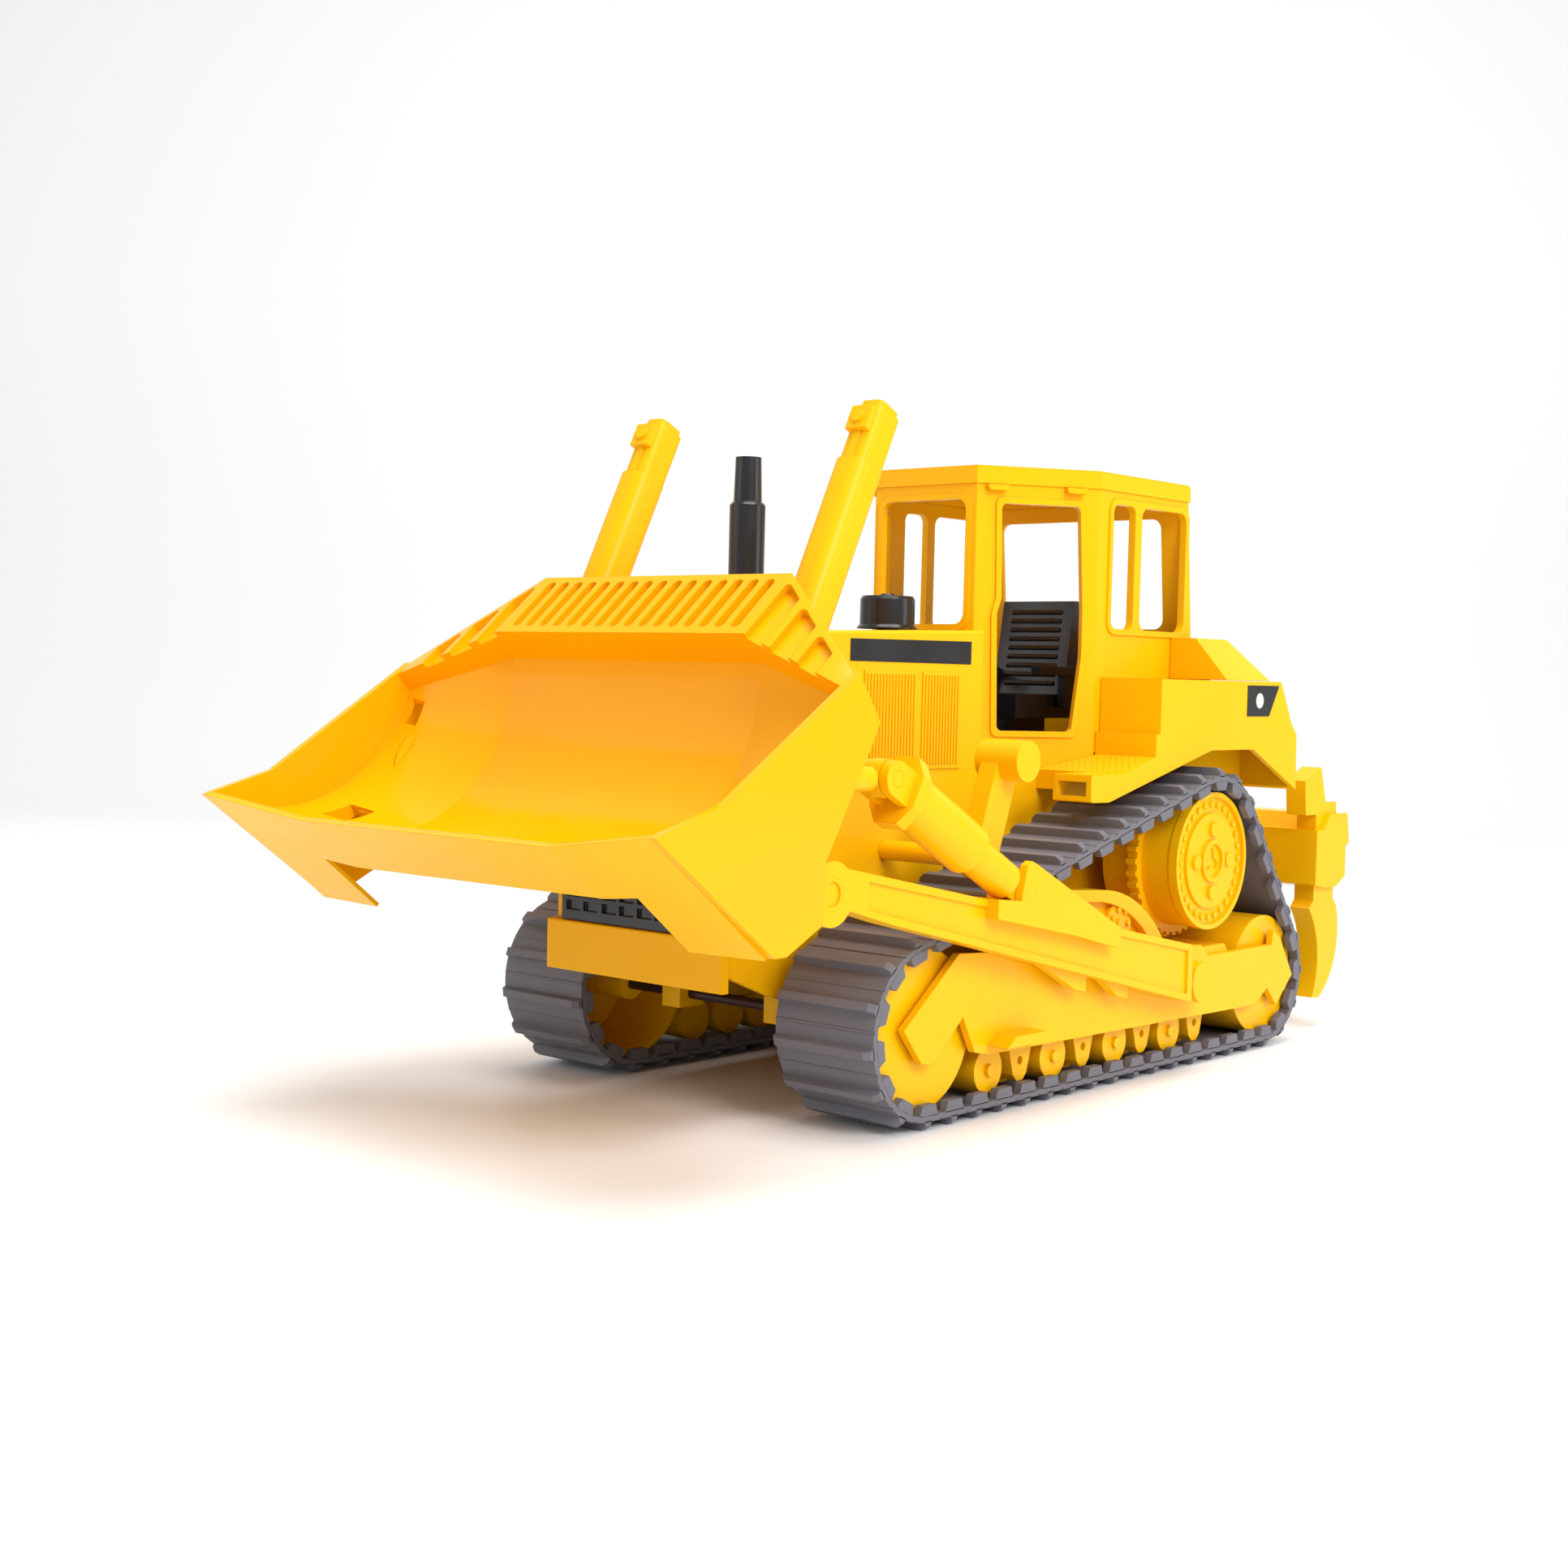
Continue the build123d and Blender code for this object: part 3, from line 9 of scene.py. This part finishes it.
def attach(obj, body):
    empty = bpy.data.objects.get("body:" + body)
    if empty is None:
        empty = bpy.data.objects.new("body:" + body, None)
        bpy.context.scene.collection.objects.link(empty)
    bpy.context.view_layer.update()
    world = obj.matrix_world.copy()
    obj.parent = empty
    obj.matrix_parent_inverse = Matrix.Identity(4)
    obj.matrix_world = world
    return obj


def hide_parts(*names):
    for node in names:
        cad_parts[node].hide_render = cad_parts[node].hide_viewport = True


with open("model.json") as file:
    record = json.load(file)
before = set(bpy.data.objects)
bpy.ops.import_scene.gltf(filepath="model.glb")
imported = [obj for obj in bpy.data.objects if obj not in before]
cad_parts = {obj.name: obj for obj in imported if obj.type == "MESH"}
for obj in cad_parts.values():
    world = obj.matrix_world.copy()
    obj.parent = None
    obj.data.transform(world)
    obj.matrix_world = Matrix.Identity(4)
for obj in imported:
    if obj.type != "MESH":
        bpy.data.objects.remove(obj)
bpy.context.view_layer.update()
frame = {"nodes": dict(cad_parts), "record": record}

MM = 0.001
SIDES = {"left": 1, "right": -1}

# faces of the CAD that the added pieces lie on, in millimetres
HOOD_FACE, FENDER_FACE = 46.0, 91.0
STICKER = 0.25  # thickness
CAB_CORNER = (28.0, 25.0)  # where the cab's slanted front corner starts, (x, y)
CAB_SLANT = (31.5, 48.6)  # its run, (x, y)
STEP_FRONT, STEP_LENGTH = 50.5, 25.1
STEP_LOW, STEP_HIGH = 130.4, 137.2


# ---- materials ------------------------------------------------------------------------------------
def material(name, tint, shade, rough, rough_spread, grain_scale, grain_height, edge=0.0004, **sockets):
    """A moulded or coated surface: slow colour drift, uneven roughness, fine grain and softened edges."""
    made = bpy.data.materials.new(name)
    made.use_nodes = True
    nodes, links = made.node_tree.nodes, made.node_tree.links
    shader = nodes["Principled BSDF"]
    place = nodes.new("ShaderNodeTexCoord")

    drift = nodes.new("ShaderNodeTexNoise")
    drift.inputs["Scale"].default_value = 9.0
    drift.inputs["Detail"].default_value = 3.0
    links.new(place.outputs["Object"], drift.inputs["Vector"])
    blend = nodes.new("ShaderNodeMix")
    blend.data_type = "RGBA"
    blend.inputs[6].default_value = (*tint, 1)
    blend.inputs[7].default_value = (*shade, 1)
    links.new(drift.outputs["Fac"], blend.inputs[0])
    links.new(blend.outputs[2], shader.inputs["Base Color"])

    wear = nodes.new("ShaderNodeTexNoise")
    wear.inputs["Scale"].default_value = 60.0
    wear.inputs["Detail"].default_value = 5.0
    links.new(place.outputs["Object"], wear.inputs["Vector"])
    spread = nodes.new("ShaderNodeMapRange")
    spread.inputs["From Min"].default_value = 0.3
    spread.inputs["From Max"].default_value = 0.7
    spread.inputs["To Min"].default_value = rough - rough_spread
    spread.inputs["To Max"].default_value = rough + rough_spread
    links.new(wear.outputs["Fac"], spread.inputs["Value"])
    links.new(spread.outputs["Result"], shader.inputs["Roughness"])

    grain = nodes.new("ShaderNodeTexNoise")
    grain.inputs["Scale"].default_value = grain_scale
    grain.inputs["Detail"].default_value = 4.0
    links.new(place.outputs["Object"], grain.inputs["Vector"])
    soft = nodes.new("ShaderNodeBevel")
    soft.samples = 4
    soft.inputs["Radius"].default_value = edge
    bump = nodes.new("ShaderNodeBump")
    bump.inputs["Strength"].default_value = 0.35
    bump.inputs["Distance"].default_value = grain_height
    links.new(grain.outputs["Fac"], bump.inputs["Height"])
    links.new(soft.outputs["Normal"], bump.inputs["Normal"])
    links.new(bump.outputs["Normal"], shader.inputs["Normal"])
    for socket, value in sockets.items():
        shader.inputs[socket.replace("_", " ")].default_value = value
    return made


LOOKS = {
    "body_yellow": material(
        "body_yellow", (0.95, 0.52, 0.002), (0.91, 0.47, 0.001), 0.30, 0.05, 900, 0.00002,
        IOR=1.5, Specular_IOR_Level=0.15,
    ),
    # The blade is the body's yellow plastic with its colour painted a little deeper orange: painted shade of
    # its forward-facing concave face. Its lower roughness is real gloss.
    "blade_yellow": material(
        "blade_yellow", (0.96, 0.46, 0.001), (0.92, 0.42, 0.001), 0.15, 0.04, 350, 0.00002,
        IOR=1.52, Specular_IOR_Level=0.15,
    ),
    "black_plastic": material(
        "black_plastic", (0.010, 0.010, 0.012), (0.016, 0.016, 0.018), 0.24, 0.07, 700, 0.00002, IOR=1.5
    ),
    "belt_grey": material(
        "belt_grey", (0.150, 0.146, 0.172), (0.125, 0.122, 0.146), 0.50, 0.08, 500, 0.00005, IOR=1.5
    ),
    "axle_brown": material(
        "axle_brown", (0.060, 0.022, 0.018), (0.035, 0.014, 0.012), 0.42, 0.12, 400, 0.00003, Metallic=0.4
    ),
}
STICKER_BLACK = material(
    "sticker_black", (0.006, 0.006, 0.007), (0.010, 0.010, 0.011), 0.30, 0.06, 300, 0.00001
)
STICKER_PALE = material("sticker_pale", (0.72, 0.71, 0.68), (0.64, 0.63, 0.60), 0.35, 0.06, 300, 0.00001)

for part in frame["record"]["subparts"]:
    node = frame["nodes"][part["node"]]
    node.data.materials.clear()
    node.data.materials.append(LOOKS[part["material_slot"]])


# ---- mesh helpers ---------------------------------------------------------------------------------
def piece(name, points, faces, look, body, slot, smooth=False):
    """A mesh from points in millimetres, which rides on a CAD body."""
    mesh = bpy.data.meshes.new(name)
    mesh.from_pydata([Vector(p) * MM for p in points], [], faces)
    mesh.validate()
    shape = bmesh.new()
    shape.from_mesh(mesh)
    bmesh.ops.recalc_face_normals(shape, faces=shape.faces)
    shape.to_mesh(mesh)
    shape.free()
    mesh.materials.append(look)
    if smooth:
        mesh.shade_smooth()
        mesh.set_sharp_from_angle(angle=math.radians(38))
    made = bpy.data.objects.new(name, mesh)
    bpy.context.scene.collection.objects.link(made)
    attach(made, body)
    return made


def prism(outline, low, high, place):
    """Points and faces of an outline given depth, each corner put in space by place(a, b, depth)."""
    count = len(outline)
    points = [place(a, b, low) for a, b in outline] + [place(a, b, high) for a, b in outline]
    faces = [tuple(range(count)), tuple(range(2 * count - 1, count - 1, -1))]
    faces += [(i, (i + 1) % count, count + (i + 1) % count, count + i) for i in range(count)]
    return points, faces


def joined(parts):
    """Several sets of points and faces made into one."""
    points, faces = [], []
    for some_points, some_faces in parts:
        faces += [tuple(i + len(points) for i in face) for face in some_faces]
        points += some_points
    return points, faces


# ---- track belts ----------------------------------------------------------------------------------
# (y, z) centre and radius of the front idler, the rear idler and the sprocket
WHEELS = [((-94.0, 37.4), 31.5), ((168.8, 34.2), 28.3), ((118.2, 90.2), 36.1)]
BAND, BAR, LUG = 2.4, 3.5, 4.0  # thickness of the band, heights of a ground bar and a guide lug
BELT_IN, BELT_OUT = 53.0, 100.0
LINK_PITCH = 16.2


def run_normal(first, second):
    """The outward normal of the straight run between two wheels."""
    (y1, z1), r1 = first
    (y2, z2), r2 = second
    span = math.dist((y1, z1), (y2, z2))
    uy, uz = (y2 - y1) / span, (z2 - z1) / span
    inward = (r1 - r2) / span
    outward = math.sqrt(1 - inward**2)
    return uy * inward + uz * outward, uz * inward - uy * outward


NORMALS = [run_normal(WHEELS[i], WHEELS[(i + 1) % 3]) for i in range(3)]
ARC_STARTS = [math.atan2(NORMALS[i - 1][1], NORMALS[i - 1][0]) for i in range(3)]
ARC_TURNS = [(math.atan2(NORMALS[i][1], NORMALS[i][0]) - ARC_STARTS[i]) % (2 * math.pi) for i in range(3)]


def loop_stretches():
    """The loop's arcs and straight runs along the band's outer face, each with its length."""
    for i in range(3):
        (y, z), radius = WHEELS[i]
        reach = radius + BAND
        yield "arc", reach * ARC_TURNS[i], (y, z, reach, ARC_STARTS[i])
        (y_next, z_next), next_radius = WHEELS[(i + 1) % 3]
        n = NORMALS[i]
        start = (y + n[0] * reach, z + n[1] * reach)
        end = (y_next + n[0] * (next_radius + BAND), z_next + n[1] * (next_radius + BAND))
        yield "run", math.dist(start, end), (*start, *n)


STRETCHES = list(loop_stretches())
LOOP_LENGTH = sum(stretch[1] for stretch in STRETCHES)
LINKS = round(LOOP_LENGTH / LINK_PITCH)


def on_loop(distance, out):
    """The (y, z) point at a distance round the loop and out from the band's outer face."""
    left = distance % LOOP_LENGTH
    for kind, length, data in STRETCHES:
        if left <= length:
            break
        left -= length
    if kind == "arc":
        y, z, reach, start = data
        angle = start + left / reach
        return y + (reach + out) * math.cos(angle), z + (reach + out) * math.sin(angle)
    y, z, ny, nz = data
    return y - nz * left + ny * out, z + ny * left + nz * out


STEPS_PER_LINK = 6
LUG_WIDTH = 3.4


def belt_mesh(side):
    """A belt's band, ground bars, ribs and guide lugs."""
    parts = []
    ring = LINKS * STEPS_PER_LINK
    edges = [(BELT_IN, -BAND), (BELT_OUT, -BAND), (BELT_OUT, 0.0), (BELT_IN, 0.0)]
    points = [
        (side * x, *on_loop(LOOP_LENGTH * step / ring, out)) for step in range(ring) for x, out in edges
    ]
    faces = []
    for step in range(ring):
        here, after = 4 * step, 4 * ((step + 1) % ring)
        faces += [(here + i, here + (i + 1) % 4, after + (i + 1) % 4, after + i) for i in range(4)]
    parts.append((points, faces))
    # ground bars with one steep flank and cut-back ends, and a low rib between each two of them
    stations = [(BELT_IN, 0.45), (BELT_IN + 2.4, 1.0), (BELT_OUT - 2.4, 1.0), (BELT_OUT, 0.45)]
    bar_section = [(-2.3, -0.4), (-1.8, BAR), (1.2, BAR), (1.9, -0.4)]
    rib_section = [(-0.6, -0.4), (-0.4, 0.35), (0.4, 0.35), (0.6, -0.4)]
    for link in range(LINKS):
        centre = LOOP_LENGTH * link / LINKS
        for shift, section in ((0.0, bar_section), (LOOP_LENGTH / LINKS / 2, rib_section)):
            count = len(section)
            points = [
                (side * x, *on_loop(centre + shift + along, out * share if out > 0 else out))
                for x, share in stations for along, out in section
            ]
            faces = [tuple(range(count)), tuple(3 * count + i for i in range(count))]
            for k in range(3):
                faces += [
                    (count * k + i, count * k + (i + 1) % count, count * (k + 1) + (i + 1) % count,
                     count * (k + 1) + i) for i in range(count)
                ]
            parts.append((points, faces))
        # guide lugs inside both edges
        for x_low, x_high in ((BELT_IN, BELT_IN + LUG_WIDTH), (BELT_OUT - LUG_WIDTH, BELT_OUT)):
            outline = [(-5.8, -BAND + 0.3), (5.8, -BAND + 0.3), (4.4, -BAND - LUG), (-4.4, -BAND - LUG)]
            parts.append(prism(outline, x_low, x_high, lambda a, b, x: (side * x, *on_loop(centre + a, b))))
    return joined(parts)


for name, side in SIDES.items():
    points, faces = belt_mesh(side)
    belt = piece(f"belt_{name}", points, faces, LOOKS["belt_grey"], "chassis", "belt_grey", smooth=True)
    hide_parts(f"track_belt_{name}")


# ---- fender tread plates --------------------------------------------------------------------------
TREAD_ROWS, TREAD_COLUMNS = 9, 14
TREAD_START, TREAD_PITCH = (47.8, 52.6), (3.2, 2.6)  # (x, y)
TREAD_LENGTH, TREAD_WIDTH, TREAD_HEIGHT = 2.4, 2.2, 0.45
TREAD_SUNK = 0.05  # how far a lozenge's foot goes into the step
TREAD_OUT, CAB_GAP = 89.2, 3.5
SLANT_SLOPE = 0.648  # of the cab's slanted corner, x over y


def tread(side):
    """Rows of small lozenges on the sloping step in front of the fender's box."""
    parts = []
    rise = (STEP_HIGH - STEP_LOW) / STEP_LENGTH
    half_length, half_width = TREAD_LENGTH / 2, TREAD_WIDTH / 2
    for row in range(TREAD_ROWS):
        for column in range(TREAD_COLUMNS):
            x = TREAD_START[0] + TREAD_PITCH[0] * (column + (0.5 if row % 2 else 0))
            y = TREAD_START[1] + TREAD_PITCH[1] * row
            cab = CAB_CORNER[0] + CAB_GAP + SLANT_SLOPE * (y - CAB_CORNER[1])
            if cab < x < TREAD_OUT:
                corners = [(x - half_length, y), (x, y - half_width), (x + half_length, y), (x, y + half_width)]
                foot = STEP_LOW - TREAD_SUNK
                points = [(side * a, b, foot + rise * (b - STEP_FRONT)) for a, b in corners]
                points.append((side * x, y, STEP_LOW + rise * (y - STEP_FRONT) + TREAD_HEIGHT))
                parts.append((points, [(0, 1, 4), (1, 2, 4), (2, 3, 4), (3, 0, 4), (3, 2, 1, 0)]))
    return joined(parts)


for name, side in SIDES.items():
    piece(f"tread_plate_{name}", *tread(side), LOOKS["body_yellow"], "chassis", "body_yellow")


# ---- stickers -------------------------------------------------------------------------------------
STRIPE = [(-80.8, 175.4), (-0.8, 175.4), (-0.8, 185.0), (-80.8, 184.2)]
BADGE = [(155.0, 155.0), (176.0, 155.0), (185.2, 169.4), (155.0, 169.4)]
SPOT_PLACE, SPOT_R, SPOT_CORNERS = (166.5, 162.3), 3.6, 32
SPOT_LOW, SPOT_HIGH = 91.2, 91.35  # the spot's foot is inside the badge


def circle(centre, radius, corners):
    """The corners of a regular polygon round a centre."""
    angles = [2 * math.pi * corner / corners for corner in range(corners)]
    return [(centre[0] + radius * math.cos(t), centre[1] + radius * math.sin(t)) for t in angles]


def sticker(name, side, outline, low, high, look, slot):
    """A thin plate on a side of the machine, from a (y, z) outline."""
    points, faces = prism(outline, low, high, lambda y, z, x: (side * x, y, z))
    piece(name, points, faces, look, "chassis", slot)


SPOT = circle(SPOT_PLACE, SPOT_R, SPOT_CORNERS)
for name, side in SIDES.items():
    sticker(f"hood_stripe_{name}", side, STRIPE, HOOD_FACE, HOOD_FACE + STICKER, STICKER_BLACK, "black_plastic")
    sticker(
        f"fender_badge_{name}", side, BADGE, FENDER_FACE, FENDER_FACE + STICKER, STICKER_BLACK, "black_plastic"
    )
    sticker(f"badge_spot_{name}", side, SPOT, SPOT_LOW, SPOT_HIGH, STICKER_PALE, "body_yellow")


# ---- cab fittings ---------------------------------------------------------------------------------
DOOR_RUN = Vector(CAB_SLANT).normalized()
LAMP_RUNS = (9.0, 46.0)  # distances of the two lamp ledges back along the slanted corner
LAMP_IN, LAMP_OUT = 0.6, 3.4
LAMP_TOP, LAMP_FOOT = 253.9, 251.4


def on_chamfer(side, run, out, z):
    """A point on the cab's slanted front corner: distance back along it, and out from it."""
    x = CAB_CORNER[0] + DOOR_RUN.x * run + DOOR_RUN.y * out
    y = CAB_CORNER[1] + DOOR_RUN.y * run - DOOR_RUN.x * out
    return side * x, y, z


for name, side in SIDES.items():
    lamps = []
    for run in LAMP_RUNS:
        outline = [(run - 5, LAMP_TOP), (run + 5, LAMP_TOP), (run + 4, LAMP_FOOT), (run - 4, LAMP_FOOT)]
        lamps.append(prism(outline, LAMP_IN, LAMP_OUT, lambda a, z, out: on_chamfer(side, a, out, z)))
    piece(f"lamp_ledges_{name}", *joined(lamps), LOOKS["body_yellow"], "chassis", "body_yellow")

SEAT_RIBS, RIB_START, RIB_PITCH, RIB_HALF = 9, 168.0, 4.2, 14
SEAT_BACK = (109.0, 163.0)  # foot of the backrest's front face, (y, z)
SEAT_RISE, SEAT_LEAN = 44.0, 7.0

seat_parts = []
for row in range(SEAT_RIBS):
    z = RIB_START + RIB_PITCH * row
    y = SEAT_BACK[0] + (z - SEAT_BACK[1]) / SEAT_RISE * SEAT_LEAN
    outline = [(y, z - 1.3), (y - 1.1, z), (y, z + 1.3), (y + 1.5, z)]
    seat_parts.append(prism(outline, -RIB_HALF, RIB_HALF, lambda y, height, x: (x, y, height)))
piece("seat_ribs", *joined(seat_parts), LOOKS["black_plastic"], "chassis", "black_plastic")


# ---- stage ----------------------------------------------------------------------------------------
CAMERA_TURN = math.radians(41.1)


def backdrop_material(name, colour, rough):
    """An even surface with a slight change in roughness."""
    made = bpy.data.materials.new(name)
    made.use_nodes = True
    shader = made.node_tree.nodes["Principled BSDF"]
    noise = made.node_tree.nodes.new("ShaderNodeTexNoise")
    noise.inputs["Scale"].default_value = 3.0
    ramp = made.node_tree.nodes.new("ShaderNodeMapRange")
    ramp.inputs["To Min"].default_value = rough - 0.03
    ramp.inputs["To Max"].default_value = rough + 0.03
    made.node_tree.links.new(noise.outputs["Fac"], ramp.inputs["Value"])
    made.node_tree.links.new(ramp.outputs["Result"], shader.inputs["Roughness"])
    shader.inputs["Base Color"].default_value = (*colour, 1)
    return made


def sweep(profile, half_width):
    """A backdrop: a floor that curves up behind the object."""
    points = [(x, y, z) for y, z in profile for x in (-half_width, half_width)]
    faces = [(2 * i, 2 * i + 1, 2 * i + 3, 2 * i + 2) for i in range(len(profile) - 1)]
    return points, faces


FLOOR_END, CURVE_R, CURVE_STEPS = 1400, 700, 12
curve = []
for step in range(CURVE_STEPS + 1):
    angle = math.pi / 2 * step / CURVE_STEPS
    curve.append((FLOOR_END + CURVE_R * math.sin(angle), CURVE_R - CURVE_R * math.cos(angle)))
points, faces = sweep([(-3000, 0), *curve, (FLOOR_END + CURVE_R, 4000)], 5000)
backdrop_mesh = bpy.data.meshes.new("backdrop")
backdrop_mesh.from_pydata([Vector(p) * MM for p in points], [], faces)
backdrop_mesh.shade_smooth()
backdrop_mesh.materials.append(backdrop_material("backdrop_white", (0.93, 0.93, 0.93), 0.5))
backdrop = bpy.data.objects.new("backdrop", backdrop_mesh)
backdrop.matrix_world = Matrix.Rotation(CAMERA_TURN, 4, "Z")
bpy.context.scene.collection.objects.link(backdrop)


def area_light(name, place, target, size, power):
    """A rectangular lamp in metres, turned towards a target."""
    data = bpy.data.lights.new(name, "AREA")
    data.shape = "RECTANGLE"
    data.size, data.size_y = size
    data.energy = power
    made = bpy.data.objects.new(name, data)
    made.location = place
    made.rotation_euler = (Vector(target) - Vector(place)).to_track_quat("-Z", "Y").to_euler()
    bpy.context.scene.collection.objects.link(made)


area_light("key", (1.7, -0.55, 1.35), (0, 0, 0.1), (0.9, 0.9), 25)
area_light("fill", (-1.2, -1.7, 0.9), (0, 0, 0.1), (1.4, 1.2), 5)
area_light("top", (0.1, 0.1, 1.9), (0, 0, 0.0), (1.3, 1.3), 27)
area_light("side", (1.7, 0.9, 0.8), (0, 0, 0.1), (0.6, 1.2), 6)

world = bpy.data.worlds.new("studio")
world.use_nodes = True
world.node_tree.nodes["Background"].inputs["Color"].default_value = (1, 1, 1, 1)
world.node_tree.nodes["Background"].inputs["Strength"].default_value = 0.55
bpy.context.scene.world = world
bpy.context.scene.view_settings.view_transform = "Standard"


# ---- camera ---------------------------------------------------------------------------------------
drop, roll = math.radians(3.04), math.radians(1.35)
level = Vector((math.cos(CAMERA_TURN), math.sin(CAMERA_TURN), 0))
ahead = Vector((-math.sin(CAMERA_TURN), math.cos(CAMERA_TURN), 0))
forward = ahead * math.cos(drop) - Vector((0, 0, math.sin(drop)))
upright = level.cross(forward)
right = level * math.cos(roll) + upright * math.sin(roll)
up = upright * math.cos(roll) - level * math.sin(roll)
lens = bpy.data.cameras.new("camera")
lens.lens = 47.48
lens.sensor_width = 36
camera = bpy.data.objects.new("camera", lens)
basis = Matrix((right, up, -forward)).transposed().to_4x4()
camera.matrix_world = Matrix.Translation((0.56032, -0.70795, 0.16953)) @ basis
bpy.context.scene.collection.objects.link(camera)
bpy.context.scene.camera = camera
